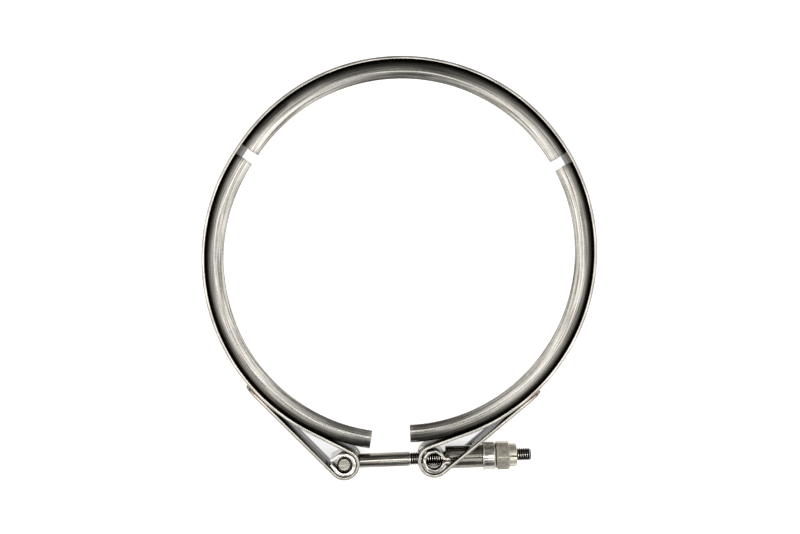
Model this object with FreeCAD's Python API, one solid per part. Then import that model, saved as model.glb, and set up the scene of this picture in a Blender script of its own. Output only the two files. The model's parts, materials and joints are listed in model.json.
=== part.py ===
"""V-band clamp with a T-bolt latch, in millimetres.

The clamp lies flat. Z is the axis of its ring, with Z = 0 half-way up the band, +Y points at the
middle of the crown and the latch is at -Y. Three V-shaped segments sit inside one outer band, and
the two gaps between them are where the band flexes when the latch opens or closes. Every solid is
placed as the clamp stands unclamped, with its left arm sprung open about the left gap.
"""

import FreeCAD, Part
import os
from math import acos, asin, atan2, cos, degrees, pi, radians, sin, tan

from FreeCAD import Vector

os.makedirs("parts", exist_ok=True)

# Driving dimensions: ring
BAND_RADIUS = 68.2  # inner face of the outer band
BAND_WIDTH = 19.05
BAND_SHEET = 1.1
SEGMENT_WIDTH = 20.6  # over both lips of the V
SEGMENT_SHEET = 1.2
V_DEPTH = 4.45  # from the outside of a segment's web in to its lips
FLANK_ANGLE = 25.0  # each flank of the V from the radial direction
FLANK_BEND_RADIUS = 1.2  # inside the bend between web and flank
LIP_LAND = 0.5  # axial length of the ground land on each lip
GAP_ANGLE = 3.2  # between neighbouring segments
MOUTH_ANGLE = 8.0  # between the two arms' segments when the ring is closed to a circle
OPENING_ANGLE = 2.7  # how far the left arm is sprung open about the left gap

# Driving dimensions: loops and straps at the ends of the band
LOOP_OFFSET = 13.35  # from the middle of the mouth to the axis of a loop, with the ring closed
STRAP_LAP = 6.2  # how far a strap lies on the ring
STRAP_CORNER_RADIUS = 4.5
WELD_DIAMETER = 4.0
WELD_SPACING = 8.6
WELD_DEPTH = 0.3  # of a nugget into each of the two layers
TUBE_SLOT_ANGLE = 138.0  # where the right loop's slot begins, round the loop

# Driving dimensions: T-bolt and its sleeve
SHANK_DIAMETER = 5.15
THREAD_DIAMETER = 4.826  # 10-32 UNF
THREAD_START = 22.5  # from the cross pin's axis
THREAD_RUNOUT = 0.6
THREAD_CHAMFER = 0.6
THREAD_SHOWING = 5.1  # beyond the nut
PIN_CHAMFER = 0.6
SLEEVE_SHEET = 1.15
SLEEVE_TAIL = 3.6  # straight part of the rolled sheet at its upper end
SLEEVE_TAIL_ANGLE = 118.0  # where the sheet leaves the circle at its upper end
SLEEVE_HEEL_ANGLE = 216.0  # and at its lower end

# Driving dimensions: trunnion, collar and nut
BARREL_DIAMETER = 8.0
BARREL_SHEET = 1.05
SEAM_WIDTH = 0.24
LEAF_BEND_RADIUS = 1.0  # middle of the bend where the barrel's sheet turns out along the seam
LEAF_LENGTH = 1.7  # how far those two leaves reach beyond the barrel
TUBE_SET_BACK = 0.3  # from the outside of the barrel to the start of the half-tubes
TUBE_DIAMETER = 8.2
TUBE_BORE = 6.2
TUBE_REACH = 21.5  # from the barrel's axis to the end of the half-tubes
COLLAR_LENGTH = 4.8
COLLAR_WALL = 0.85
COLLAR_END_WALL = 0.9
COLLAR_RIM = 0.6  # axial length of the rim
COLLAR_RIM_HEIGHT = 0.25
COLLAR_RIM_ROUND = 0.2
COLLAR_SHOULDER_RADIUS = 1.0
NUT_ACROSS_FLATS = 9.525
NUT_HEX_LENGTH = 4.7
NUT_RING_DIAMETER = 8.3
NUT_RING_LENGTH = 2.7
NUT_CHAMFER_ANGLE = 30.0
NUT_RING_CHAMFER = 0.25
NUT_ENTRY = 0.5  # countersink at each end of the thread

# Clearances
SEGMENT_FIT = 0.05  # between a segment's web and the band
LAP_GAP = 0.1  # between a strap and the band under it
LOOP_CLEARANCE = 1.45  # between the right loop and the segment under it
SLEEVE_CLEARANCE = 0.25  # between the sleeve and the left loop
PIN_CLEARANCE = 0.425  # between the cross pin and its sleeve
PIN_RECESS = 0.525  # from an end of the sleeve to the end of the pin
SHANK_HOLE_CLEARANCE = 0.325
SHANK_SLOT_CLEARANCE = 0.525
SHANK_SWING_CLEARANCE = 0.925  # in the plane of the ring, where the shank swings in its slot
BARREL_CLEARANCE = 0.7  # between the barrel and the right loop
TUBE_SLOT_CLEARANCE = 0.7
COLLAR_FIT = 0.05
COLLAR_HOLE_CLEARANCE = 0.287
THREAD_CLEARANCE = 0.05
NUT_SEAT_GAP = 0.1

# Worked out from the dimensions above
CENTRE = Vector(0, 0, 0)
AXIS = Vector(0, 0, 1)
ALONG = Vector(1, 0, 0)
OVERSHOOT = 1.0  # how far a cut runs past what it cuts
TOLERANCE = 0.01  # for picking an edge by its place or length
BAND_MIDDLE = BAND_RADIUS + BAND_SHEET / 2
BAND_OUTSIDE = BAND_RADIUS + BAND_SHEET
LAP_MIDDLE = BAND_OUTSIDE + LAP_GAP + BAND_SHEET / 2
WEB_OUTSIDE = BAND_RADIUS - SEGMENT_FIT
LIP_RADIUS = WEB_OUTSIDE - V_DEPTH
SEGMENT_SPAN = (360 - MOUTH_ANGLE - 2 * GAP_ANGLE) / 3
CROWN_END = 90 + SEGMENT_SPAN / 2
ARM_START = CROWN_END + GAP_ANGLE
ARM_END = ARM_START + SEGMENT_SPAN
SLEEVE_BORE = SHANK_DIAMETER + 2 * PIN_CLEARANCE
LEFT_LOOP_DIAMETER = SLEEVE_BORE + 2 * (SLEEVE_SHEET + SLEEVE_CLEARANCE + BAND_SHEET)
RIGHT_LOOP_DIAMETER = BARREL_DIAMETER + 2 * (BARREL_CLEARANCE + BAND_SHEET)
LOOP_RADIUS = WEB_OUTSIDE + LOOP_CLEARANCE + RIGHT_LOOP_DIAMETER / 2
LOOP_DIRECTION = 270 - degrees(asin(LOOP_OFFSET / LOOP_RADIUS))
SHANK_SLOT_WIDTH = SHANK_DIAMETER + 2 * SHANK_SLOT_CLEARANCE
SHANK_SLOT_HEIGHT = SHANK_DIAMETER + 2 * SHANK_SWING_CLEARANCE
TUBE_SLOT_WIDTH = TUBE_DIAMETER + 2 * TUBE_SLOT_CLEARANCE
TUBE_START = BARREL_DIAMETER / 2 + TUBE_SET_BACK
COLLAR_END = TUBE_REACH + COLLAR_END_WALL
COLLAR_START = COLLAR_END - COLLAR_LENGTH
COLLAR_SOCKET = TUBE_DIAMETER / 2 + COLLAR_FIT
NUT_START = COLLAR_END + NUT_SEAT_GAP
NUT_END = NUT_START + NUT_HEX_LENGTH + NUT_RING_LENGTH


def polar(centre, radius, angle):
    """Point on a circle in the plane of the ring, at an angle in degrees."""
    return centre + Vector(radius * cos(radians(angle)), radius * sin(radians(angle)), 0)


def turned_point(point, pivot, angle):
    """Point turned about a pivot in the plane of the ring."""
    return pivot + FreeCAD.Rotation(AXIS, angle).multVec(point - pivot)


LEFT_GAP = polar(CENTRE, BAND_MIDDLE, CROWN_END + GAP_ANGLE / 2)
LEFT_LOOP = turned_point(polar(CENTRE, LOOP_RADIUS, LOOP_DIRECTION), LEFT_GAP, -OPENING_ANGLE)
RIGHT_LOOP = polar(CENTRE, LOOP_RADIUS, 180 - LOOP_DIRECTION)
LOOP_SPAN = (RIGHT_LOOP - LEFT_LOOP).Length
BOLT_ANGLE = degrees(atan2(RIGHT_LOOP.y - LEFT_LOOP.y, RIGHT_LOOP.x - LEFT_LOOP.x))


# Sheet strips: a centre line is a list of lines and arcs that run on from each other without a corner


def line(start, end):
    return ("line", start, end)


def arc(centre, radius, first, last):
    """Arc between two angles in degrees, counter-clockwise where the last is above the first."""
    return ("arc", centre, radius, first, last)


def line_on(start, heading, length):
    """Line from a point, on a heading in degrees."""
    return line(start, polar(start, length, heading))


def turned(pieces, pivot, angle):
    """Centre line turned about a pivot."""
    moved = []
    for kind, point, *rest in pieces:
        point = turned_point(point, pivot, angle)
        if kind == "line":
            moved.append(line(point, turned_point(rest[0], pivot, angle)))
        else:
            moved.append(arc(point, rest[0], rest[1] + angle, rest[2] + angle))
    return moved


def mirrored(pieces):
    """Centre line mirrored left to right, and run the other way so that it still leads on."""
    moved = []
    for kind, point, *rest in reversed(pieces):
        point = Vector(-point.x, point.y, 0)
        if kind == "line":
            moved.append(line(Vector(-rest[0].x, rest[0].y, 0), point))
        else:
            moved.append(arc(point, rest[0], 180 - rest[2], 180 - rest[1]))
    return moved


def face_edge(piece, side):
    """Edge of a strip's face, at a distance to the left of one piece of its centre line."""
    if piece[0] == "line":
        _, start, end = piece
        along = (end - start).normalize()
        across = Vector(-along.y, along.x, 0) * side
        return Part.LineSegment(start + across, end + across).toShape()
    _, centre, radius, first, last = piece
    radius += -side if last > first else side
    middle = (first + last) / 2
    return Part.Arc(*[polar(centre, radius, angle) for angle in (first, middle, last)]).toShape()


def strip_face(pieces, sheet):
    """Flat face of a strip of sheet that follows a centre line, in the plane of the ring."""
    left = [face_edge(piece, sheet / 2) for piece in pieces]
    right = [face_edge(piece, -sheet / 2) for piece in pieces]
    starts = [side[0].valueAt(side[0].FirstParameter) for side in (left, right)]
    ends = [side[-1].valueAt(side[-1].LastParameter) for side in (left, right)]
    caps = [Part.LineSegment(*corners).toShape() for corners in (starts, ends)]
    return Part.Face(Part.Wire(Part.__sortEdges__(left + right + caps)))


def standing(face, height):
    """Face drawn up into a solid, half of its height to each side of Z = 0."""
    solid = face.extrude(Vector(0, 0, height))
    solid.translate(Vector(0, 0, -height / 2))
    return solid


def rod(radius, start, end):
    """Cylinder along X."""
    return Part.makeCylinder(radius, end - start, Vector(start, 0, 0), ALONG)


def taper(first_radius, last_radius, start, end):
    """Cone along X."""
    return Part.makeCone(first_radius, last_radius, end - start, Vector(start, 0, 0), ALONG)


def upright(radius, length, at=CENTRE):
    """Cylinder along Z, centred on Z = 0."""
    return Part.makeCylinder(radius, length, at + Vector(0, 0, -length / 2), AXIS)


# Outer band


def loop_bend(loop_diameter):
    """Middle radius of the band round a loop."""
    return (loop_diameter - BAND_SHEET) / 2


def strap_landing(loop_diameter):
    """Where the strap that comes back from the left loop meets the ring, in degrees round the ring."""
    return LOOP_DIRECTION - degrees(acos((LAP_MIDDLE - loop_bend(loop_diameter)) / LOOP_RADIUS))


def strap_end(loop_diameter):
    """Where that strap ends, in degrees round the ring."""
    return strap_landing(loop_diameter) - degrees(STRAP_LAP / LAP_MIDDLE)


def arm_strip(loop_diameter):
    """Centre line of the left arm's band: round the ring, round the loop and back to lap the ring."""
    loop = polar(CENTRE, LOOP_RADIUS, LOOP_DIRECTION)
    bend = loop_bend(loop_diameter)
    leave = LOOP_DIRECTION - degrees(acos((BAND_MIDDLE + bend) / LOOP_RADIUS))
    land = strap_landing(loop_diameter)
    return [
        arc(CENTRE, BAND_MIDDLE, ARM_START, leave),
        line(polar(CENTRE, BAND_MIDDLE, leave), polar(loop, bend, leave - 180)),
        arc(loop, bend, leave - 180, land - 360),
        line(polar(loop, bend, land), polar(CENTRE, LAP_MIDDLE, land)),
        arc(CENTRE, LAP_MIDDLE, land, strap_end(loop_diameter)),
    ]


def gap_strip(opening):
    """Centre line of the band across the left gap, bent less than the ring by the arm's opening."""
    start = polar(CENTRE, BAND_MIDDLE, CROWN_END)
    end = turned_point(polar(CENTRE, BAND_MIDDLE, ARM_START), LEFT_GAP, -opening)
    bend = GAP_ANGLE - opening
    radius = (end - start).Length / 2 / sin(radians(bend / 2))
    return [arc(polar(start, -radius, CROWN_END), radius, CROWN_END, CROWN_END + bend)]


def welds(loop_diameter):
    """Two nuggets that join the left strap to the band under it, before the arm opens."""
    angle = (strap_landing(loop_diameter) + strap_end(loop_diameter)) / 2
    reach = BAND_OUTSIDE - WELD_DEPTH
    nuggets = []
    for height in (-WELD_SPACING / 2, WELD_SPACING / 2):
        start = polar(Vector(0, 0, height), reach, angle)
        length = LAP_GAP + 2 * WELD_DEPTH
        nuggets.append(Part.makeCylinder(WELD_DIAMETER / 2, length, start, polar(CENTRE, 1, angle)))
    return nuggets


def rounded_strap(band, tip):
    """Band with the two corners of the strap that ends at a point rounded off."""
    across = [edge for edge in band.Edges if abs(edge.Length - BAND_SHEET) < TOLERANCE]
    reach = BAND_WIDTH / 2 + BAND_SHEET
    corners = [edge for edge in across if (edge.CenterOfMass - tip).Length < reach]
    return band.makeFillet(STRAP_CORNER_RADIUS, corners)


def shank_slot():
    """Slot in the outside of the left loop that the shank swings in, along X from the loop's axis."""
    corner = Vector(0, -SHANK_SLOT_HEIGHT / 2, -SHANK_SLOT_WIDTH / 2)
    return Part.makeBox(LEFT_LOOP_DIAMETER, SHANK_SLOT_HEIGHT, SHANK_SLOT_WIDTH, corner)


def tube_slot():
    """Slot that runs round the right loop and on up its strap, so that the tube passes through both."""
    bend = loop_bend(RIGHT_LOOP_DIAMETER)
    land = 180 - strap_landing(RIGHT_LOOP_DIAMETER)
    reach = RIGHT_LOOP_DIAMETER / 2 + BAND_SHEET
    sweep = Part.makeCylinder(reach, TUBE_SLOT_WIDTH, CENTRE, AXIS, land + 360 - TUBE_SLOT_ANGLE)
    sweep.rotate(CENTRE, AXIS, TUBE_SLOT_ANGLE)
    sweep.translate(RIGHT_LOOP + Vector(0, 0, -TUBE_SLOT_WIDTH / 2))
    crossing = radians(land + 90 - BOLT_ANGLE)
    run = (bend + BAND_SHEET / 2) / tan(crossing) + TUBE_DIAMETER / 2 / sin(crossing)
    run += TUBE_SLOT_CLEARANCE - TUBE_SLOT_WIDTH / 2  # to the middle of the slot's round end
    half_width, through = TUBE_SLOT_WIDTH / 2, 2 * BAND_SHEET
    strap = Part.makeBox(run, through, TUBE_SLOT_WIDTH, Vector(0, -BAND_SHEET, -half_width))
    far_end = Part.makeCylinder(half_width, through, Vector(run, -BAND_SHEET, 0), Vector(0, 1, 0))
    strap = strap.fuse(far_end)
    strap.rotate(CENTRE, AXIS, land + 90)
    strap.translate(polar(RIGHT_LOOP, bend, land))
    return sweep.fuse(strap)


def outer_band():
    """One flat strip round the ring, each end folded round a loop and spot-welded back on itself."""
    left_arm = turned(arm_strip(LEFT_LOOP_DIAMETER), LEFT_GAP, -OPENING_ANGLE)
    right_arm = mirrored(arm_strip(RIGHT_LOOP_DIAMETER))
    crown = arc(CENTRE, BAND_MIDDLE, 180 - CROWN_END, CROWN_END)
    right_gap = arc(CENTRE, BAND_MIDDLE, 180 - ARM_START, 180 - CROWN_END)
    pieces = right_arm + [right_gap, crown] + gap_strip(OPENING_ANGLE) + left_arm
    band = standing(strip_face(pieces, BAND_SHEET), BAND_WIDTH)
    left_tip = polar(CENTRE, LAP_MIDDLE, strap_end(LEFT_LOOP_DIAMETER))
    left_tip = turned_point(left_tip, LEFT_GAP, -OPENING_ANGLE)
    right_tip = polar(CENTRE, LAP_MIDDLE, 180 - strap_end(RIGHT_LOOP_DIAMETER))
    for tip in (left_tip, right_tip):
        band = rounded_strap(band, tip)
    slot = shank_slot()
    slot.rotate(CENTRE, AXIS, BOLT_ANGLE)
    slot.translate(LEFT_LOOP)
    right_welds = [weld.mirror(CENTRE, ALONG) for weld in welds(RIGHT_LOOP_DIAMETER)]
    left_welds = welds(LEFT_LOOP_DIAMETER)
    for weld in left_welds:
        weld.rotate(LEFT_GAP, AXIS, -OPENING_ANGLE)
    return band.cut([slot, tube_slot()]).fuse(left_welds + right_welds)


# V segments


def segment_section():
    """Half-plane section of a segment: a web against the band and a flank turned in at each edge."""
    bend = FLANK_BEND_RADIUS + SEGMENT_SHEET / 2
    turn = 90 - FLANK_ANGLE
    web = WEB_OUTSIDE - SEGMENT_SHEET / 2
    land_depth = LIP_LAND * sin(radians(FLANK_ANGLE)) * cos(radians(FLANK_ANGLE))
    lip = LIP_RADIUS - land_depth + SEGMENT_SHEET / 2 * sin(radians(FLANK_ANGLE))
    flank = (web - bend + bend * cos(radians(turn)) - lip) / cos(radians(FLANK_ANGLE))
    rise = bend * sin(radians(turn)) + flank * sin(radians(FLANK_ANGLE))
    rise += SEGMENT_SHEET / 2 * cos(radians(FLANK_ANGLE))
    half_web = SEGMENT_WIDTH / 2 - rise
    upper, lower = Vector(web - bend, half_web, 0), Vector(web - bend, -half_web, 0)
    upper_foot, lower_foot = polar(upper, bend, turn), polar(lower, bend, -turn)
    lower_lip = polar(lower_foot, flank, 180 + FLANK_ANGLE)
    pieces = [
        line(lower_lip, lower_foot),
        arc(lower, bend, -turn, 0),
        line(polar(lower, bend, 0), polar(upper, bend, 0)),
        arc(upper, bend, 0, turn),
        line_on(upper_foot, 180 - FLANK_ANGLE, flank),
    ]
    section = strip_face(pieces, SEGMENT_SHEET)
    section.rotate(CENTRE, ALONG, 90)
    return section


def segment(first, span):
    """One rolled V segment that starts at an angle round the ring, with a land ground on both lips."""
    solid = segment_section().revolve(CENTRE, AXIS, span)
    solid.rotate(CENTRE, AXIS, first)
    return solid.cut(upright(LIP_RADIUS, 2 * SEGMENT_WIDTH))


def v_segment_top():
    return segment(180 - CROWN_END, SEGMENT_SPAN)


def v_segment_left():
    solid = segment(ARM_START, SEGMENT_SPAN)
    solid.rotate(LEFT_GAP, AXIS, -OPENING_ANGLE)
    return solid


def v_segment_right():
    return segment(180 - ARM_END, SEGMENT_SPAN)


# Latch: each solid is made along X and then laid along the bolt


def on_bolt(solid, origin):
    """Solid laid along the bolt, with its own origin at one of the loops."""
    solid.rotate(CENTRE, AXIS, BOLT_ANGLE)
    solid.translate(origin)
    return solid


def chamfered_rod(radius, start, end, chamfer):
    """Cylinder along X with a chamfer at its far end."""
    return rod(radius, start, end - chamfer).fuse(taper(radius, radius - chamfer, end - chamfer, end))


def t_bolt():
    """Bolt with a cross pin for a head: plain shank, then a thread of a smaller diameter."""
    radius, thread_radius = SHANK_DIAMETER / 2, THREAD_DIAMETER / 2
    half_pin = BAND_WIDTH / 2 - PIN_RECESS
    pin = chamfered_rod(radius, 0, half_pin, PIN_CHAMFER)
    pin = pin.fuse(pin.mirror(CENTRE, ALONG))
    pin.rotate(CENTRE, Vector(0, 1, 0), 90)
    shank = rod(radius, 0, THREAD_START)
    full_thread = THREAD_START + THREAD_RUNOUT
    runout = taper(radius, thread_radius, THREAD_START, full_thread)
    reach = LOOP_SPAN + NUT_END + THREAD_SHOWING
    thread = chamfered_rod(thread_radius, full_thread, reach, THREAD_CHAMFER)
    return on_bolt(pin.fuse([shank, runout, thread]), LEFT_LOOP)


def t_bolt_sleeve():
    """Sheet rolled round the cross pin, its ends run straight out of the circle to meet behind it."""
    middle = (SLEEVE_BORE + SLEEVE_SHEET) / 2
    tail = line_on(polar(CENTRE, middle, SLEEVE_TAIL_ANGLE), SLEEVE_TAIL_ANGLE + 90, SLEEVE_TAIL)
    heel_foot = polar(CENTRE, middle, SLEEVE_HEEL_ANGLE)
    heel_length = SLEEVE_TAIL - SLEEVE_SHEET / 2
    heel = line(polar(heel_foot, heel_length, SLEEVE_HEEL_ANGLE - 90), heel_foot)
    round_part = arc(CENTRE, middle, SLEEVE_HEEL_ANGLE, SLEEVE_TAIL_ANGLE + 360)
    sleeve = standing(strip_face([heel, round_part, tail], SLEEVE_SHEET), BAND_WIDTH)
    sleeve = sleeve.cut(rod(SHANK_DIAMETER / 2 + SHANK_HOLE_CLEARANCE, 0, SLEEVE_BORE))
    return on_bolt(sleeve, LEFT_LOOP)


def barrel_face():
    """End view of the trunnion's barrel: a ring whose two ends turn out side by side along the seam."""
    middle = (BARREL_DIAMETER - BARREL_SHEET) / 2
    leaf = (SEAM_WIDTH + BARREL_SHEET) / 2
    reach = BARREL_DIAMETER / 2 + LEAF_LENGTH
    bend_height = leaf + LEAF_BEND_RADIUS
    bend_across = ((middle + LEAF_BEND_RADIUS) ** 2 - bend_height**2) ** 0.5
    bend = Vector(bend_across, bend_height, 0)
    turn = degrees(atan2(bend_height, bend_across))
    upper = [
        line(Vector(reach, leaf, 0), Vector(bend_across, leaf, 0)),
        arc(bend, LEAF_BEND_RADIUS, 270, 180 + turn),
    ]
    lower_bend = Vector(bend_across, -bend_height, 0)
    lower = [
        arc(lower_bend, LEAF_BEND_RADIUS, 180 - turn, 90),
        line(Vector(bend_across, -leaf, 0), Vector(reach, -leaf, 0)),
    ]
    return strip_face(upper + [arc(CENTRE, middle, turn, 360 - turn)] + lower, BARREL_SHEET)


def trunnion():
    """Folded sheet: a barrel that turns in the right loop, and two half-tubes round the bolt."""
    barrel = standing(barrel_face(), BAND_WIDTH)
    tube = rod(TUBE_DIAMETER / 2, TUBE_START, TUBE_REACH)
    seam_height = BAND_WIDTH + 2 * OVERSHOOT
    seam_corner = Vector(0, -SEAM_WIDTH / 2, -seam_height / 2)
    seam = Part.makeBox(TUBE_REACH, SEAM_WIDTH, seam_height, seam_corner)
    bore = rod(TUBE_BORE / 2, -BARREL_DIAMETER, TUBE_REACH + OVERSHOOT)
    inside = upright(BARREL_DIAMETER / 2 - BARREL_SHEET, BAND_WIDTH)
    solid = barrel.fuse(tube.cut(inside)).cut([bore, seam])
    return on_bolt(solid, RIGHT_LOOP)


def trunnion_collar():
    """Pressed cap on the end of the half-tubes, with a rim, a round shoulder and the bolt's hole."""
    outside = COLLAR_SOCKET + COLLAR_WALL
    body = rod(outside, COLLAR_START, COLLAR_END)
    far_edges = [edge for edge in body.Edges if abs(edge.CenterOfMass.x - COLLAR_END) < TOLERANCE]
    shoulder = [edge for edge in far_edges if edge.Closed]
    body = body.makeFillet(COLLAR_SHOULDER_RADIUS, shoulder)
    rim = rod(outside + COLLAR_RIM_HEIGHT, COLLAR_START, COLLAR_START + COLLAR_RIM)
    rim = rim.makeFillet(COLLAR_RIM_ROUND, [edge for edge in rim.Edges if edge.Closed])
    socket = rod(COLLAR_SOCKET, COLLAR_START - OVERSHOOT, TUBE_REACH)
    hole_radius = THREAD_DIAMETER / 2 + COLLAR_HOLE_CLEARANCE
    hole = rod(hole_radius, COLLAR_START, COLLAR_END + OVERSHOOT)
    return on_bolt(body.fuse(rim).cut([socket, hole]), RIGHT_LOOP)


def hexagon_prism(corner):
    """Hexagon bar along X for the length of the nut's flats, one of its corners uppermost."""
    angles = [k * pi / 3 for k in range(7)]
    corners = [Vector(NUT_START, corner * sin(angle), corner * cos(angle)) for angle in angles]
    return Part.Face(Part.makePolygon(corners)).extrude(Vector(NUT_HEX_LENGTH, 0, 0))


def lock_nut():
    """Hexagon nut chamfered at both ends, with a round locking ring at its outer end."""
    flat = NUT_ACROSS_FLATS / 2
    corner = flat / cos(pi / 6)
    depth = (corner - flat) * tan(radians(NUT_CHAMFER_ANGLE))
    end = NUT_START + NUT_HEX_LENGTH
    seat_chamfer = taper(flat, corner, NUT_START, NUT_START + depth)
    outer_chamfer = taper(corner, flat, end - depth, end)
    envelope = seat_chamfer.fuse([rod(corner, NUT_START + depth, end - depth), outer_chamfer])
    ring = chamfered_rod(NUT_RING_DIAMETER / 2, end, NUT_END, NUT_RING_CHAMFER)
    bore = THREAD_DIAMETER / 2 + THREAD_CLEARANCE
    hole = rod(bore, NUT_START - OVERSHOOT, NUT_END + OVERSHOOT)
    seat_entry = taper(bore + NUT_ENTRY, bore, NUT_START, NUT_START + NUT_ENTRY)
    outer_entry = taper(bore, bore + NUT_ENTRY, NUT_END - NUT_ENTRY, NUT_END)
    nut = hexagon_prism(corner).common(envelope).fuse(ring).cut([hole, seat_entry, outer_entry])
    return on_bolt(nut, RIGHT_LOOP)


PARTS = [
    outer_band,
    v_segment_top,
    v_segment_left,
    v_segment_right,
    t_bolt,
    t_bolt_sleeve,
    trunnion,
    trunnion_collar,
    lock_nut,
]

for make in PARTS:
    shape = make().removeSplitter()
    shape.exportStep(f"parts/{make.__name__}.step")
    box = shape.BoundBox
    size = f"{box.XLength:.2f} x {box.YLength:.2f} x {box.ZLength:.2f}"
    print(make.__name__, len(shape.Solids), "solid", shape.isValid(), size, f"{shape.Volume:.0f} mm3")
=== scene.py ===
# %% [markdown]
# # A V-band clamp
# The clamp holds two flanged tubes together. An outer band of bright rolled steel carries three
# V-shaped segments, and a T-bolt draws its two folded loops towards each other. The construction
# comes from the frame. This file gives every surface its finish, rounds the edges, cuts the bolt's
# thread, slots the nut and cuts the band across where it bends on the real clamp.

import json
from math import atan2, cos, degrees, pi, radians, sin, tan

import bpy
from mathutils import Matrix, Vector


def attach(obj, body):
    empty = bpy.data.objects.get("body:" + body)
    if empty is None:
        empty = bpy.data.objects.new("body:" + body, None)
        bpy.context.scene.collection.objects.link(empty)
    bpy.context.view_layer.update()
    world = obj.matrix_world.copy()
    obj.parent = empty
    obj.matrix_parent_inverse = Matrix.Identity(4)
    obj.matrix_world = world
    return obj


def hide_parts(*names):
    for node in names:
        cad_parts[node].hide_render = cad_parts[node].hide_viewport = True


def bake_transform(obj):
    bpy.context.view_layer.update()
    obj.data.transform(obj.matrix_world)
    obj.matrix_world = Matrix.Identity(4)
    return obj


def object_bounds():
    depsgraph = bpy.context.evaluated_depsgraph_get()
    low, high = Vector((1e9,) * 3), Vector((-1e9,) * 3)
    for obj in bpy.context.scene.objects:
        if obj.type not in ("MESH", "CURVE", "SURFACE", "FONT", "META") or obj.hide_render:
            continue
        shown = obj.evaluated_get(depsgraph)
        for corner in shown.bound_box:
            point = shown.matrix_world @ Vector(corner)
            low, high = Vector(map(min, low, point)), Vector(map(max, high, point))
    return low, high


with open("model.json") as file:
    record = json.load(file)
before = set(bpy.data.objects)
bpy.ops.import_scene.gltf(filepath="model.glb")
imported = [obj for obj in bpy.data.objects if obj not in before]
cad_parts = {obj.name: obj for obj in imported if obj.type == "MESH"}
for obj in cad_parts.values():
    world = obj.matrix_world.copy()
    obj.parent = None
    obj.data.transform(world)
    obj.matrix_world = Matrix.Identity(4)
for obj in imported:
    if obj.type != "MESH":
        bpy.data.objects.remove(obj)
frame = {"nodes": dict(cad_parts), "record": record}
cad_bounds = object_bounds()
print("nodes:", ", ".join(sorted(frame["nodes"])))
print("box:", [round(1000 * value, 2) for corner in cad_bounds for value in corner])

# %% [markdown]
# ## Where things are
# The joints of the frame say where the band bends and where the bolt runs. Lengths are in metres,
# so one millimetre gets a name of its own. The two arms are mirror images, but at rest the left one
# stands sprung open about its gap, so whatever runs round the ring has a centre of its own there.

# %% Places from the joints
MM = 0.001
JOINTS = {joint["name"]: joint for joint in frame["record"]["behaviour"]["joints"]}
LEFT_GAP = Vector(JOINTS["left_flex"]["pos_m"])
LEFT_LOOP = Vector(JOINTS["bolt_pivot"]["pos_m"])
RIGHT_LOOP = Vector(JOINTS["nut_spin"]["pos_m"])
BOLT_LINE = Vector(JOINTS["nut_spin"]["axis"])
BOLT_ANGLE = atan2(BOLT_LINE.y, BOLT_LINE.x)
print("bolt turned", round(degrees(BOLT_ANGLE), 2), "degrees")

# %% Centre of the left arm
ARM = LEFT_LOOP - LEFT_GAP
CLOSED_ARM = Vector((-RIGHT_LOOP.x, RIGHT_LOOP.y, 0)) - LEFT_GAP
OPENED = atan2(ARM.y, ARM.x) - atan2(CLOSED_ARM.y, CLOSED_ARM.x)
LEFT_CENTRE = (LEFT_GAP - Matrix.Rotation(OPENED, 3, "Z") @ LEFT_GAP) / MM
print("left arm opened", round(degrees(OPENED), 2), "degrees")
print("its centre in mm:", [round(value, 2) for value in LEFT_CENTRE])

# %% [markdown]
# ## Colours and nodes
# A material is a small graph of nodes. It could be drawn in the shader editor, but in code it can be
# read and changed. Colours are written as the sRGB hex values that a paint chart gives, and one
# function turns them to the linear values that the shader works in. Another adds one node.

# %% Small helpers for materials
def linear(hex_colour):
    """Linear RGBA of an sRGB hex colour."""
    channels = [int(hex_colour[i : i + 2], 16) / 255 for i in (1, 3, 5)]
    return [c / 12.92 if c <= 0.04045 else ((c + 0.055) / 1.055) ** 2.4 for c in channels] + [1]


def add_node(material, kind, inputs=(), **settings):
    """Add a node with its settings, and feed its inputs from values or other nodes' outputs."""
    tree = material.node_tree
    node = tree.nodes.new(kind)
    for name, value in settings.items():
        setattr(node, name, value)
    for socket, value in dict(inputs).items():
        if isinstance(value, bpy.types.NodeSocket):
            tree.links.new(value, node.inputs[socket])
        else:
            node.inputs[socket].default_value = value
    return node


def maths(material, operation, *values):
    """One step of arithmetic."""
    return add_node(material, "ShaderNodeMath", dict(enumerate(values)), operation=operation).outputs[0]


def new_metal(name):
    """A bare metal and its shader, whose colour and grain are still to come."""
    material = bpy.data.materials.new(name)
    material.use_nodes = True
    shader = material.node_tree.nodes["Principled BSDF"]
    shader.inputs["Metallic"].default_value = 1
    return material, shader


print("white is", linear("#FFFFFF"))

# %% [markdown]
# ## Directions of grain
# Rolling, drawing and brushing all leave fine lines that run the way the metal went. An image of
# brushed metal would stretch and show seams round a ring. A noise pattern shows the same lines when
# its coordinates are long one way and short the other, so each finish starts from a place in
# millimetres: along the lines, and the two ways across them.

# %% Places on the ring and on the bolt
RING_RADIUS = 68.0


def millimetres(material):
    """Object coordinates in millimetres."""
    texture = add_node(material, "ShaderNodeTexCoord")
    inputs = {0: texture.outputs["Object"], "Scale": 1 / MM}
    return add_node(material, "ShaderNodeVectorMath", inputs, operation="SCALE").outputs["Vector"]


def length_of(material, x, y):
    """Distance from the origin in the plane of two coordinates."""
    arrow = add_node(material, "ShaderNodeCombineXYZ", {0: x, 1: y}).outputs[0]
    return add_node(material, "ShaderNodeVectorMath", {0: arrow}, operation="LENGTH").outputs["Value"]


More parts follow.
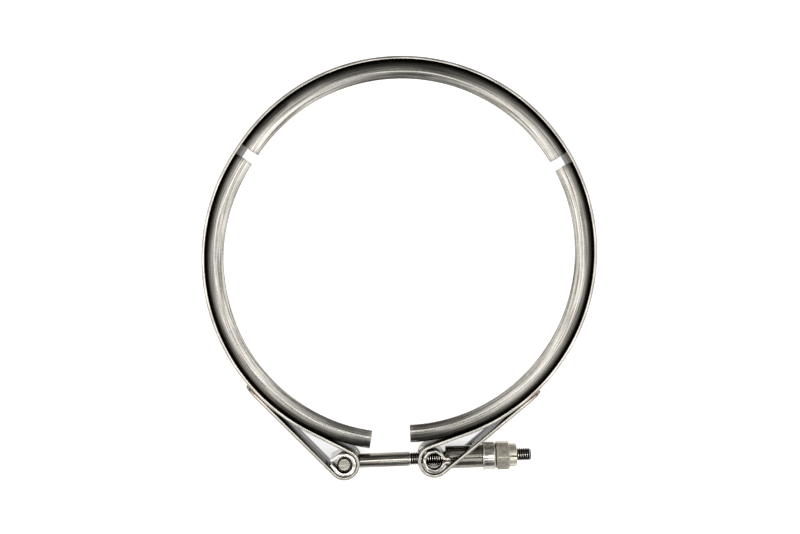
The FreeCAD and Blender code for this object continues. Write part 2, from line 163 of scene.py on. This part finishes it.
def ring_coordinates(material):
    """Length round the ring, distance from its axis, and height, each arm with its own centre."""
    x, y, height = add_node(material, "ShaderNodeSeparateXYZ", {0: millimetres(material)}).outputs
    at_left = maths(material, "LESS_THAN", x, 0.0)
    under_gap = maths(material, "LESS_THAN", y, LEFT_GAP.y / MM)
    on_left_arm = maths(material, "MULTIPLY", at_left, under_gap)
    x = maths(material, "MULTIPLY_ADD", on_left_arm, -LEFT_CENTRE.x, x)
    y = maths(material, "MULTIPLY_ADD", on_left_arm, -LEFT_CENTRE.y, y)
    along = maths(material, "MULTIPLY", maths(material, "ARCTAN2", x, y), RING_RADIUS)
    return along, length_of(material, x, y), height


def bolt_coordinates(material):
    """Length along the bolt from the right loop's axis, and the two ways across it."""
    inputs = {0: millimetres(material), "Location": RIGHT_LOOP / MM, "Rotation": (0, 0, BOLT_ANGLE)}
    moved = add_node(material, "ShaderNodeMapping", inputs, vector_type="TEXTURE")
    return add_node(material, "ShaderNodeSeparateXYZ", {0: moved.outputs[0]}).outputs[:3]


print("grain runs round the ring and along the bolt")

# %% [markdown]
# ## From grain to surface
# The noise is a grey from about 0.3 to 0.7. A ramp turns it to colours, a range turns it to
# roughness, and a Bump node turns it to relief. These are the same three steps in every finish, so
# each has a helper.

# %% Grain, tones, ranges and relief
NOISE_LOW, NOISE_HIGH = 0.3, 0.7


def grain(material, place, length, width, detail=2.0):
    """Noise whose streaks have a length and a width in millimetres."""
    parts = [maths(material, "DIVIDE", value, size) for value, size in zip(place, (length, width, width))]
    vector = add_node(material, "ShaderNodeCombineXYZ", dict(enumerate(parts))).outputs[0]
    inputs = {"Vector": vector, "Scale": 1.0, "Detail": detail, "Roughness": 0.6}
    return add_node(material, "ShaderNodeTexNoise", inputs).outputs["Fac"]


def tones(material, value, *stops):
    """Colours over a value, given as (position, hex colour)."""
    ramp = add_node(material, "ShaderNodeValToRGB", {0: value})
    first, last = ramp.color_ramp.elements
    first.position, first.color = stops[0][0], linear(stops[0][1])
    last.position, last.color = stops[-1][0], linear(stops[-1][1])
    for position, colour in stops[1:-1]:
        ramp.color_ramp.elements.new(position).color = linear(colour)
    return ramp.outputs["Color"]


def mapped(material, value, low, high, start=NOISE_LOW, end=NOISE_HIGH):
    """A value stretched to run from low to high while it goes from start to end."""
    inputs = {"Value": value, "From Min": start, "From Max": end, "To Min": low, "To Max": high}
    return add_node(material, "ShaderNodeMapRange", inputs).outputs["Result"]


def tinted(material, factor, base, tint):
    """A colour or grey mixed over another by a factor."""
    mix = add_node(material, "ShaderNodeMix", {"Factor": factor}, data_type="RGBA")
    material.node_tree.links.new(base, mix.inputs["A"])
    if isinstance(tint, bpy.types.NodeSocket):
        material.node_tree.links.new(tint, mix.inputs["B"])
    else:
        mix.inputs["B"].default_value = tint
    return mix.outputs["Result"]


def connect(material, shader, colour, roughness, relief, depth):
    """Give the shader its colour, its roughness and a relief of a depth in millimetres."""
    bump = add_node(material, "ShaderNodeBump", {"Height": relief, "Distance": depth * MM, "Strength": 1.0})
    for socket, value in (("Base Color", colour), ("Roughness", roughness), ("Normal", bump.outputs[0])):
        material.node_tree.links.new(value, shader.inputs[socket])


print("noise used from", NOISE_LOW, "to", NOISE_HIGH)

# %% [markdown]
# ## Bright rolled strip
# The band is stainless strip, bright annealed and rolled: nearly a mirror, with fine lines along
# its length. Shade is painted into its colour on its inner face, on its slit edges, which are also
# rougher, and on the straps and loops where it is folded over. Where the straps are spot welded, the
# heat left rings of straw, brown and blue. All of these depend on the distance from the ring's axis, on
# the height, or on the distance from a weld, so one material can tell them apart and the band needs no second
# one.
# Rolling lines are finer than a render shows, so they are drawn 0.35 mm wide.

# %% Heat colours at the welds
WELDS = [(-51.48, -50.98, 4.3), (-51.48, -50.98, -4.3), (47.82, -50.16, 4.3), (47.82, -50.16, -4.3)]
HEAT_REACH = 8.0
HEAT_COLOURS = [(0.2, "#8A8078"), (0.38, "#5E6674"), (0.52, "#6A5444"), (0.72, "#8C7256"), (1.0, "#C8C0B2")]


def weld_heat(material, colour):
    """Heat colours round each weld of the straps, weaker with distance."""
    place = millimetres(material)
    distances = [
        add_node(material, "ShaderNodeVectorMath", {0: place, 1: weld}, operation="DISTANCE").outputs["Value"]
        for weld in WELDS
    ]
    nearest = distances[0]
    for distance in distances[1:]:
        nearest = maths(material, "MINIMUM", nearest, distance)
    level = maths(material, "DIVIDE", nearest, HEAT_REACH)
    fade = mapped(material, level, 0.6, 0.0, start=0.45, end=1.0)
    return tinted(material, fade, colour, tones(material, level, *HEAT_COLOURS))


print(len(WELDS), "welds, heat seen up to", HEAT_REACH, "mm away")

# %% Strip of the band
INNER_FACE = 68.4  # just outside the inner face of the band
STRAP_FACE = 69.8  # just outside its outer face, where only straps and loops are
STRIP_EDGE = max(vertex.co.z for vertex in frame["nodes"]["outer_band"].data.vertices) / MM - 0.03


def rolled_strip():
    material, shader = new_metal("bright_rolled_stainless_strip")
    shader.inputs["Specular Tint"].default_value = (0.3, 0.3, 0.3, 1)  # dull at a glancing angle
    along, radius, height = ring_coordinates(material)
    lines = grain(material, (along, 0.0, height), 40.0, 0.35)
    patches = grain(material, (along, radius, height), 14.0, 5.0)
    place = add_node(material, "ShaderNodeSeparateXYZ", {0: millimetres(material)}).outputs
    grit = grain(material, place, 0.7, 0.7)
    marks = tinted(material, 0.2, lines, grit)
    colour = tones(material, marks, (0.36, "#94908A"), (0.5, "#B6B2AC"), (0.64, "#CECBC5"))
    # Painted shade: the inner face is darkened.
    inside = maths(material, "LESS_THAN", radius, INNER_FACE)
    colour = tinted(material, maths(material, "MULTIPLY", inside, 0.7), colour, linear("#5E5A54"))
    # Painted shade: the straps and loops, outside the band's outer face, are darkened.
    folded = maths(material, "GREATER_THAN", radius, STRAP_FACE)
    colour = tinted(material, maths(material, "MULTIPLY", folded, 0.35), colour, linear("#55514B"))
    colour = weld_heat(material, colour)
    # Painted shade on the slit edges, deeper on the straps and loops; the slit edges are also made rougher.
    slit = maths(material, "GREATER_THAN", maths(material, "ABSOLUTE", height), STRIP_EDGE)
    greyed = maths(material, "MULTIPLY", slit, maths(material, "MULTIPLY_ADD", folded, 0.15, 0.6))
    colour = tinted(material, greyed, colour, linear("#6E6A63"))
    roughness = maths(material, "MULTIPLY_ADD", slit, 0.14, mapped(material, patches, 0.08, 0.17))
    connect(material, shader, colour, roughness, lines, 0.0015)
    return material


BRIGHT_STRIP = rolled_strip()
print("strip edge at", round(STRIP_EDGE, 2), "mm")

# %% [markdown]
# ## Roll-formed segments
# The segments are formed from thicker sheet between rolls, which leaves a satin face with lines
# round the ring and faint marks across them. Shade is painted into the colour outside, darker towards
# the corner between the flank and the band. The flank's plane divides outside from inside: it leans
# 25 degrees from the radial direction, and a point is outside when it lies higher than the plane at its
# distance.

# %% Sheet of the segments
LIP_RADIUS = 63.7  # of the V's mouth
LIP_HEIGHT = 9.64  # where the plane between inside and outside meets the lip
FLANK_SLOPE = tan(radians(25))
# Where the painted shade in the corner begins and where it is deepest, in millimetres from the axis.
CREASE_SHADE_START, CREASE_SHADE_END = 63.9, 66.6


def formed_sheet():
    material, shader = new_metal("roll_formed_stainless_sheet")
    along, radius, height = place = ring_coordinates(material)
    lines = grain(material, place, 25.0, 0.5, detail=3.0)
    hatch = grain(material, place, 0.5, 1.6)
    patches = grain(material, place, 9.0, 2.5)
    marks = tinted(material, 0.12, lines, hatch)
    colour = tones(material, marks, (0.38, "#77736B"), (0.5, "#B6B2AA"), (0.62, "#DAD7D0"))
    fall = maths(material, "MULTIPLY_ADD", radius, FLANK_SLOPE, -LIP_RADIUS * FLANK_SLOPE - LIP_HEIGHT)
    over_flank = maths(material, "ADD", maths(material, "ABSOLUTE", height), fall)
    outside = maths(material, "GREATER_THAN", over_flank, 0.0)
    # Painted shade: darker towards the corner between the flank and the band, on the outside only.
    crease_shade = mapped(material, radius, 0.0, 0.85, start=CREASE_SHADE_START, end=CREASE_SHADE_END)
    colour = tinted(material, maths(material, "MULTIPLY", crease_shade, outside), colour, linear("#2A2622"))
    connect(material, shader, colour, mapped(material, patches, 0.17, 0.28), marks, 0.008)
    return material


FORMED_SHEET = formed_sheet()
# Where the painted shade in the corner runs.
print("grime from", CREASE_SHADE_START, "to", CREASE_SHADE_END, "mm from the axis")

# %% [markdown]
# ## Cold-drawn bar
# The bolt is cold-drawn bar, dark and smooth, with lines along it. Its thread has a painted highlight
# on the crests and painted shade in the roots. How deep a point lies is its distance from the bolt's
# axis, so crest and root are told apart by that alone.

# %% Bar of the bolt
THREAD_BEGINS = -8.7
CREST, ROOT = 2.37, 2.2


def drawn_bar():
    material, shader = new_metal("cold_drawn_stainless_bar")
    along, across, height = place = bolt_coordinates(material)
    lines = grain(material, place, 12.0, 0.25)
    colour = tones(material, lines, (0.36, "#4E4A45"), (0.5, "#7C7870"), (0.62, "#9A968E"))
    root = mapped(material, length_of(material, across, height), 0.0, 1.0, start=CREST, end=ROOT)
    threaded = maths(material, "GREATER_THAN", along, THREAD_BEGINS)
    # Painted highlight: the threaded part is lightened, which shows on the crests.
    colour = tinted(material, threaded, colour, linear("#B4B0A8"))
    # Painted shade in the thread's roots, darker with depth.
    colour = tinted(material, maths(material, "MULTIPLY", root, threaded), colour, linear("#0C0B0A"))
    connect(material, shader, colour, mapped(material, lines, 0.12, 0.2), lines, 0.002)
    return material


DRAWN_BAR = drawn_bar()
print("thread dark from", CREST, "to", ROOT, "mm from the bolt's axis")

# %% [markdown]
# ## Tumbled sheet
# The sleeve, the trunnion and the collar were pressed from sheet and tumbled, which takes the burrs
# off and leaves a smooth face with small knocks in all directions over the old lines. The trunnion
# gets a darker copy of the finish, which is painted shade, so one function makes both from their three tones.

# %% Sheet of the sleeve, the trunnion and the collar
def tumbled_sheet(name, dark, middle, light):
    material, shader = new_metal(name)
    place = bolt_coordinates(material)
    lines = grain(material, place, 6.0, 0.3)
    knocks = grain(material, place, 0.8, 0.8, detail=5.0)
    marks = tinted(material, 0.4, lines, knocks)
    colour = tones(material, marks, (0.35, dark), (0.5, middle), (0.65, light))
    connect(material, shader, colour, mapped(material, lines, 0.11, 0.18), lines, 0.001)
    return material


TUMBLED_SHEET = tumbled_sheet("tumbled_stainless_sheet", "#8E8A82", "#B0ACA4", "#C6C2BA")
# The trunnion's copy is darker: painted shade.
SHADED_TUBE_SHEET = tumbled_sheet("shaded_stainless_tube_sheet", "#5C5852", "#7C7871", "#98948C")
print("tumbled:", TUMBLED_SHEET.name, "and", SHADED_TUBE_SHEET.name)

# %% [markdown]
# ## Dry film
# The nut has a dry lubricating film over its steel, which looks like fine warm-grey stone: grit
# with soft clouds in it, the same in all directions. Real grit is finer than a render shows, so it
# is drawn 0.35 mm wide.

# %% Film of the nut
def dry_film():
    material, shader = new_metal("dry_film_lubricated_steel")
    place = bolt_coordinates(material)
    grit = grain(material, place, 0.35, 0.35, detail=6.0)
    clouds = grain(material, place, 1.8, 1.8)
    marks = tinted(material, 0.5, grit, clouds)
    colour = tones(material, marks, (0.34, "#A39C90"), (0.5, "#C8C1B3"), (0.62, "#DAD3C5"))
    connect(material, shader, colour, mapped(material, marks, 0.32, 0.46), grit, 0.012)
    return material


DRY_FILM = dry_film()
print("film:", DRY_FILM.name)

# %% [markdown]
# ## Finishes on the nodes
# Each node of the frame gets the finish of its real counterpart. Copies of a node's mesh made later
# take the finish along.

# %% Give every node its finish
FINISH = {
    "outer_band": BRIGHT_STRIP,
    "v_segment_top": FORMED_SHEET,
    "v_segment_left": FORMED_SHEET,
    "v_segment_right": FORMED_SHEET,
    "t_bolt": DRAWN_BAR,
    "t_bolt_sleeve": TUMBLED_SHEET,
    "trunnion": SHADED_TUBE_SHEET,
    "trunnion_collar": TUMBLED_SHEET,
    "lock_nut": DRY_FILM,
}
for node, finish in FINISH.items():
    frame["nodes"][node].data.materials.clear()
    frame["nodes"][node].data.materials.append(finish)
print("finishes:", sorted({finish.name for finish in FINISH.values()}))

# %% [markdown]
# ## Soft edges
# No sheared or turned edge is perfectly sharp: each has a small radius that catches the light as
# a thin line. The radius could be faked in the shader, but then the outline stays sharp. So a copy
# of the CAD mesh, which is loose triangles, is merged, its flat areas are cleaned, and a Bevel
# modifier rounds its corners. The drawn collar has only round edges already.

# %% Choose, open and close a piece
def deselect():
    bpy.ops.object.select_all(action="DESELECT")


def choose(piece):
    """Make one object the only selected and active one."""
    deselect()
    piece.select_set(True)
    bpy.context.view_layer.objects.active = piece


def open_mesh(piece, mode="VERT"):
    """Open a piece in edit mode with all of it selected."""
    choose(piece)
    bpy.ops.object.mode_set(mode="EDIT")
    bpy.ops.mesh.select_mode(type=mode)
    bpy.ops.mesh.select_all(action="SELECT")


def close_mesh():
    bpy.ops.object.mode_set(mode="OBJECT")


def apply_modifier(piece, kind, **settings):
    """Add a modifier with its settings and apply it."""
    choose(piece)
    modifier = piece.modifiers.new(kind.lower(), kind)
    for name, value in settings.items():
        setattr(modifier, name, value)
    bpy.ops.object.modifier_apply(modifier=modifier.name)


print("tools ready")

# %% Copy a node and round its edges
SHARP_TURN = radians(40)


def merged_copy(node, name):
    """Copy of a CAD node as a clean closed mesh."""
    piece = bpy.data.objects.new(name, frame["nodes"][node].data.copy())
    bpy.context.collection.objects.link(piece)
    open_mesh(piece)
    bpy.ops.mesh.remove_doubles(threshold=0.001 * MM)
    bpy.ops.mesh.dissolve_limited(angle_limit=radians(0.2))
    close_mesh()
    return piece


def shade_smooth(piece, angle=30):
    """Shade smooth what turns by less than an angle in degrees."""
    choose(piece)
    bpy.ops.object.shade_smooth_by_angle(angle=radians(angle))


def soften(piece, radius, segments=2):
    """Round every sharp edge with a radius in millimetres, and shade the rest smooth."""
    if radius:
        apply_modifier(
            piece,
            "BEVEL",
            width=radius * MM,
            segments=segments,
            limit_method="ANGLE",
            angle_limit=SHARP_TURN,
            use_clamp_overlap=False,
        )
    shade_smooth(piece)
    print(piece.name, len(piece.data.polygons), "faces")


SOFT_PIECES = [
    ("v_segment_top", "formed_segment_top", "crown", "segment_steel", 0.14),
    ("v_segment_left", "formed_segment_left", "left_arm", "segment_steel", 0.14),
    ("v_segment_right", "formed_segment_right", "right_arm", "segment_steel", 0.14),
    ("t_bolt_sleeve", "rolled_sleeve", "left_arm", "trunnion_steel", 0.12),
    ("trunnion", "rolled_trunnion", "trunnion", "trunnion_steel", 0.1),
    ("trunnion_collar", "drawn_collar", "trunnion", "trunnion_steel", 0),
]
for node, name, body, slot, radius in SOFT_PIECES:
    piece = merged_copy(node, name)
    soften(piece, radius)
    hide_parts(node)
    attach(piece, body)

# %% [markdown]
# ## The band in two halves
# Between the segments the bare band is the hinge: it flexes over a short length. A stiff band would
# tear there when the arms move, so the band is cut in two halves at the top of the crown, and each
# half gets seven cuts across the gap, where it bends. Each cut takes only the faces near the gap,
# and the strap and the loop keep theirs whole.

# %% Cuts across the band
BAND_RADIUS = 68.75 * MM
LEFT_BEND = (radians(147.6), radians(150.8))
BEND_CUTS = 7
NEAR_GAP = 30 * MM
STRIP_ROUND = 0.2


def on_ring(angle):
    """Place on the middle of the band at an angle round the ring."""
    return Vector((BAND_RADIUS * cos(angle), BAND_RADIUS * sin(angle), 0))


def halve(piece, keep_right):
    """Cut a piece along X = 0, keep one side and close the cut."""
    open_mesh(piece)
    bpy.ops.mesh.bisect(
        plane_co=(0, 0, 0),
        plane_no=(1, 0, 0),
        use_fill=True,
        clear_inner=keep_right,
        clear_outer=not keep_right,
        threshold=1e-7,
    )
    close_mesh()


def cut_near_gap(piece, place):
    """Cut the faces near a place of the band, square to the band."""
    mesh = piece.data
    open_mesh(piece, "FACE")
    close_mesh()
    for polygon in mesh.polygons:
        polygon.select = min((mesh.vertices[i].co - place).length for i in polygon.vertices) < NEAR_GAP
    bpy.ops.object.mode_set(mode="EDIT")
    bpy.ops.mesh.bisect(plane_co=place, plane_no=Vector((-place.y, place.x, 0)).normalized(), threshold=1e-7)
    close_mesh()


print("bend from", [round(degrees(angle), 1) for angle in LEFT_BEND], "degrees")

# %% Make the two halves
def band_half(name, side):
    """Half of the band from the top of the crown to its own loop; side is -1 for the left."""
    piece = merged_copy("outer_band", name)
    soften(piece, STRIP_ROUND, segments=3)
    halve(piece, keep_right=side > 0)
    start, end = (on_ring(angle) for angle in LEFT_BEND)
    start.x, end.x = -side * start.x, -side * end.x
    for step in range(BEND_CUTS):
        cut_near_gap(piece, start.lerp(end, step / (BEND_CUTS - 1)))
    shade_smooth(piece)
    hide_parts("outer_band")
    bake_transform(piece)
    print(name, len(piece.data.polygons), "faces")


band_half("band_left_half", -1)
band_half("band_right_half", 1)

# %% [markdown]
# ## The T-bolt
# A bolt with a cross pin for a head. The shank is plain bar, and the thread is 10-32 UNF, which is
# 0.794 mm from crest to crest. The frame has a plain cylinder for the thread. Here a turned blank
# comes first, as on a lathe: a cylinder whose end is drawn out step by step, with a small taper to
# the thread and a chamfer at the tip. It is made upright at the origin and laid in place later.

# %% Turn the blank
SHANK_RADIUS = 2.575 * MM
THREAD_RADIUS = 2.413 * MM
PITCH = 25.4 / 32 * MM
THREAD_START = 22.5 * MM
BOLT_END = (RIGHT_LOOP - LEFT_LOOP).length + 35.0 * MM
CHAMFER = 0.6 * MM
ROUND_STEPS = 64


def select_where(parts, test):
    """In edit mode, select the vertices or faces that pass a test."""
    bpy.ops.mesh.select_all(action="DESELECT")
    bpy.ops.object.mode_set(mode="OBJECT")
    for part in parts:
        part.select = test(part)
    bpy.ops.object.mode_set(mode="EDIT")


def draw_out(top, length, scale=1.0):
    """Extrude the selected end upward, scale it about the axis, and say how high it is now."""
    bpy.ops.mesh.extrude_region_move(TRANSFORM_OT_translate={"value": (0, 0, length)})
    bpy.ops.transform.resize(value=(scale, scale, 1), center_override=(0, 0, top + length))
    return top + length


def apply_place(piece):
    """Move an object's place and turn into its mesh."""
    choose(piece)
    bpy.ops.object.transform_apply(location=True, rotation=True, scale=True)


deselect()
bpy.ops.mesh.primitive_cylinder_add(
    vertices=ROUND_STEPS, radius=SHANK_RADIUS, depth=THREAD_START, location=(0, 0, THREAD_START / 2)
)
T_BOLT = bpy.context.object
T_BOLT.name = "threaded_t_bolt"
apply_place(T_BOLT)
open_mesh(T_BOLT)
select_where(T_BOLT.data.vertices, lambda vertex: vertex.co.z > THREAD_START / 2)
top = draw_out(THREAD_START, CHAMFER, THREAD_RADIUS / SHANK_RADIUS)
top = draw_out(top, BOLT_END - CHAMFER - top)
top = draw_out(top, CHAMFER, 1 - CHAMFER / THREAD_RADIUS)
close_mesh()
print("blank:", len(T_BOLT.data.polygons), "faces,", round(top / MM, 2), "mm long")

# %% [markdown]
# ### The thread
# On a lathe a pointed tool cuts the groove turn by turn. Here a small square is shaped to the
# tool's section, narrow at the root and wide outside, and a Screw modifier winds it into a wire.
# The wire runs past the end of the bolt, so the groove does too.

# %% Shape the tool's section
ROOT_RADIUS = THREAD_RADIUS - 0.6134 * PITCH  # depth of a unified thread
OUTSIDE = THREAD_RADIUS + 0.12 * MM
MIDDLE = (ROOT_RADIUS + OUTSIDE) / 2
HALF_ROOT = 0.03 * MM
HALF_WIDTH = HALF_ROOT + (OUTSIDE - ROOT_RADIUS) * tan(radians(30))

deselect()
bpy.ops.mesh.primitive_plane_add(size=1, location=(0, 0, 0), rotation=(pi / 2, 0, 0))
wire = bpy.context.object
apply_place(wire)
open_mesh(wire)
bpy.ops.transform.resize(value=(OUTSIDE - ROOT_RADIUS, 1, 2 * HALF_ROOT), center_override=(0, 0, 0))
bpy.ops.transform.translate(value=(MIDDLE, 0, 0))
bpy.ops.mesh.delete(type="ONLY_FACE")
select_where(wire.data.vertices, lambda vertex: vertex.co.x > MIDDLE)
bpy.ops.transform.resize(value=(1, 1, HALF_WIDTH / HALF_ROOT), center_override=(OUTSIDE, 0, 0))
close_mesh()
print("section:", round((OUTSIDE - ROOT_RADIUS) / MM, 3), "by", round(2 * HALF_WIDTH / MM, 3), "mm")

# %% Wind the wire
TURNS = int((BOLT_END - THREAD_START) / PITCH) + 1
RUN_OUT = 0.7 * MM
WIND = dict(angle=-2 * pi, screw_offset=-PITCH, iterations=TURNS, steps=24, render_steps=24, axis="Z")

apply_modifier(wire, "SCREW", use_normal_calculate=True, **WIND)
lowest = min(vertex.co.z for vertex in wire.data.vertices)
open_mesh(wire, "EDGE")
bpy.ops.mesh.select_all(action="DESELECT")
bpy.ops.mesh.select_non_manifold()
bpy.ops.mesh.fill_holes(sides=8)
bpy.ops.mesh.select_all(action="SELECT")
bpy.ops.mesh.normals_make_consistent(inside=False)
bpy.ops.transform.translate(value=(0, 0, THREAD_START + RUN_OUT - lowest))
close_mesh()
print("wire:", len(wire.data.polygons), "faces,", TURNS, "turns")

# %% [markdown]
# ### Groove and place
# A Boolean takes the wire away from the blank, which gives a true groove with a true outline. Then
# the bolt is laid along its line, with its foot on the left loop's axis.

# %% Cut the thread and lay the bolt in its place
def boolean(piece, tool, operation):
    """Join or cut with another piece, which is used up."""
    apply_modifier(piece, "BOOLEAN", object=tool, operation=operation, solver="EXACT")
    bpy.data.objects.remove(tool)


boolean(T_BOLT, wire, "DIFFERENCE")
T_BOLT.rotation_euler = (0, pi / 2, BOLT_ANGLE)
T_BOLT.location = LEFT_LOOP
apply_place(T_BOLT)
print("threaded:", len(T_BOLT.data.polygons), "faces")

# %% [markdown]
# ### The cross pin
# The head of the bolt is a short pin across its end. It is a cylinder whose two end faces are
# bevelled, joined to the shank by a Boolean so that the two are one piece, as on the real bolt.

# %% Bevel the pin and join it
PIN_HALF = 9.0 * MM

deselect()
bpy.ops.mesh.primitive_cylinder_add(
    vertices=ROUND_STEPS, radius=SHANK_RADIUS, depth=2 * PIN_HALF, location=LEFT_LOOP
)
pin = bpy.context.object
apply_place(pin)
open_mesh(pin, "FACE")
select_where(pin.data.polygons, lambda polygon: abs(polygon.normal.z) > 0.9)
bpy.ops.mesh.bevel(offset=CHAMFER, segments=1)
close_mesh()
boolean(T_BOLT, pin, "UNION")
T_BOLT.data.materials.clear()
T_BOLT.data.materials.append(DRAWN_BAR)
shade_smooth(T_BOLT, 32)
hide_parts("t_bolt")
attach(T_BOLT, "bolt")
print("bolt:", len(T_BOLT.data.polygons), "faces")

# %% [markdown]
# ## The lock nut
# Three saw cuts across the round ring at the end of the nut divide it into six tongues, which are
# pressed in a little and grip the thread. Each cut is a thin bar taken away from the ring, because
# a saw leaves square walls that a bump in the material wouldn't show.

# %% Slot the ring
RING_START = 27.2 * MM
RING_END = 29.9 * MM
RING_DIAMETER = 8.3 * MM
SLOT_WIDTH = 0.5 * MM
SAW_CUTS = 3
OVERRUN = 1 * MM

LOCK_NUT = merged_copy("lock_nut", "slotted_lock_nut")
bar_middle = RIGHT_LOOP + BOLT_LINE * (RING_START + RING_END + OVERRUN) / 2
bar_size = (RING_END - RING_START + OVERRUN, SLOT_WIDTH, RING_DIAMETER + OVERRUN)
for cut in range(SAW_CUTS):
    turned = (cut * pi / SAW_CUTS, 0, BOLT_ANGLE)
    deselect()
    bpy.ops.mesh.primitive_cube_add(size=1, location=bar_middle, rotation=turned, scale=bar_size)
    boolean(LOCK_NUT, bpy.context.object, "DIFFERENCE")
soften(LOCK_NUT, 0.09)
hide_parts("lock_nut")
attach(LOCK_NUT, "nut")

# %% [markdown]
# ## The floor
# The clamp lies on white paper. A large plane at its lowest point takes its shadow. The paper glows
# a little to the camera and in the metal's reflections, as lit paper does, and lights nothing else.

# %% Floor
FLOOR_GLOW = 0.62

deselect()
bpy.ops.mesh.primitive_plane_add(size=6, location=(0, 0, cad_bounds[0][2]))
floor = bpy.context.object
floor.name = "floor"
paper = bpy.data.materials.new("white_floor")
paper.use_nodes = True
paper_shader = paper.node_tree.nodes["Principled BSDF"]
paper_shader.inputs["Base Color"].default_value = linear("#FFFFFF")
paper_shader.inputs["Roughness"].default_value = 1
paper_shader.inputs["Emission Color"].default_value = (1, 1, 1, 1)
rays = add_node(paper, "ShaderNodeLightPath").outputs
seen_or_mirrored = maths(paper, "MAXIMUM", rays["Is Camera Ray"], rays["Is Glossy Ray"])
glow = maths(paper, "MULTIPLY", seen_or_mirrored, FLOOR_GLOW)
paper.node_tree.links.new(glow, paper_shader.inputs["Emission Strength"])
floor.data.materials.append(paper)
print("floor at", round(floor.location.z / MM, 2), "mm")

# %% [markdown]
# ## The room
# Bare metal shows what stands round it, so the room matters more than the lamps. Two large bright
# boxes stand left and right, and a dimmer wedge lies between them, front to back. One list gives
# the greys of the bright sides from the floor, 0, to overhead, 1, and another those of the wedge.
# Walls could be modelled as lamps, but a world shader is smooth and quick. The camera itself sees
# plain white, and rough surfaces get an even light.

# %% Greys of the room
ROOM_LIGHT = 2.0
EVEN_LIGHT = 0.6
DIM_SIDE = [(0.0, 0.5), (0.52, 0.45), (0.57, 0.1), (0.765, 0.06), (0.87, 0.22), (0.95, 0.16), (1.0, 0.2)]
LIGHT_SIDE = [(0.0, 0.5), (0.52, 0.45), (0.6, 0.3), (0.765, 0.46), (0.83, 0.95), (0.93, 1.0), (1.0, 0.95)]

world = bpy.data.worlds.new("studio")
world.use_nodes = True
bpy.context.scene.world = world


def brightness(level, stops):
    """Grey of a wall by its height, from the floor, 0, to overhead, 1."""
    ramp = add_node(world, "ShaderNodeValToRGB", {0: level})
    elements = ramp.color_ramp.elements
    for position, grey in stops[1:-1]:
        elements.new(position).color = (grey, grey, grey, 1)
    elements[0].color = (stops[0][1],) * 3 + (1,)
    elements[len(elements) - 1].color = (stops[-1][1],) * 3 + (1,)
    return ramp.outputs["Color"]


print("room of strength", ROOM_LIGHT, "with", len(DIM_SIDE), "and", len(LIGHT_SIDE), "greys")

# %% Room
WEDGE_EDGE = 1.8  # how fast the wedge gives way to the bright sides
WEDGE_WIDTH = -0.55  # lower is wider
NORTH_DIMMER = -0.25  # makes the north side a little dimmer than the south

texture = add_node(world, "ShaderNodeTexCoord")
east, north, up = add_node(world, "ShaderNodeSeparateXYZ", {0: texture.outputs["Generated"]}).outputs
level = maths(world, "MULTIPLY_ADD", up, 0.5, 0.5)
flat_squared = maths(world, "MULTIPLY_ADD", maths(world, "MULTIPLY", up, up), -1.0, 1.0)
flat = maths(world, "SQRT", maths(world, "MAXIMUM", flat_squared, 0.0))
sideways = maths(world, "ABSOLUTE", east)
aside = maths(world, "DIVIDE", sideways, maths(world, "MULTIPLY_ADD", flat, 0.8, 0.05))
share = maths(world, "MULTIPLY_ADD", aside, WEDGE_EDGE, WEDGE_WIDTH)
share = add_node(world, "ShaderNodeClamp", {0: maths(world, "MULTIPLY_ADD", north, NORTH_DIMMER, share)})
walls = tinted(world, share.outputs[0], brightness(level, DIM_SIDE), brightness(level, LIGHT_SIDE))
room = add_node(world, "ShaderNodeBackground", {"Color": walls, "Strength": ROOM_LIGHT})
even = add_node(world, "ShaderNodeBackground", {"Color": (1, 1, 1, 1), "Strength": EVEN_LIGHT})
white = world.node_tree.nodes["Background"]
white.inputs["Color"].default_value = (1, 1, 1, 1)
white.inputs["Strength"].default_value = 1
rays = add_node(world, "ShaderNodeLightPath").outputs
lights = {0: rays["Is Glossy Ray"], 1: even.outputs[0], 2: room.outputs[0]}
lit = add_node(world, "ShaderNodeMixShader", lights)
views = {0: rays["Is Camera Ray"], 1: lit.outputs[0], 2: white.outputs[0]}
seen = add_node(world, "ShaderNodeMixShader", views)
world.node_tree.links.new(seen.outputs[0], world.node_tree.nodes["World Output"].inputs["Surface"])
print("room:", len(world.node_tree.nodes), "nodes")

# %% [markdown]
# ## The lamps
# Two long lamps across the object draw the bright lines along the bolt, the tube and the collar.
# The wide one over the latch also gives the band its bright rim at the sides, and the narrow one
# further south gives the bolt its thin line. Area lamps have a size, as softboxes have, and a point
# lamp would only leave specks on such smooth metal.

# %% Lamps
LAMP_HEIGHT = 1200


def softbox(name, north_mm, width_mm, depth_mm, watts):
    """A lamp that points at the object from a place north or south of it."""
    place = Vector((0, north_mm, LAMP_HEIGHT)) * MM
    bpy.ops.object.light_add(type="AREA", location=place, rotation=(-atan2(place.y, place.z), 0, 0))
    lamp = bpy.context.object
    lamp.name = name
    lamp.data.shape = "RECTANGLE"
    lamp.data.size = width_mm * MM
    lamp.data.size_y = depth_mm * MM
    lamp.data.energy = watts
    print(name, watts, "W")


softbox("top_strip", -80, 700, 280, 3.6)
softbox("south_strip", -600, 700, 70, 1.4)

# %% [markdown]
# ## The camera
# The camera hangs half a metre over the ring and looks straight down, turned by a little over a
# degree. So near, it sees the inside of the band all round.

# %% Camera
CAMERA_PLACE = (-0.0005, -0.0056, 0.4968)
CAMERA_TURN = radians(1.4)

bpy.ops.object.camera_add(location=CAMERA_PLACE, rotation=(0, 0, CAMERA_TURN))
camera = bpy.context.object
camera.data.lens = 61.9
camera.data.sensor_width = 36
bpy.context.scene.camera = camera
bpy.context.scene.view_settings.view_transform = "Standard"
print("lens", round(camera.data.lens, 1), "mm")
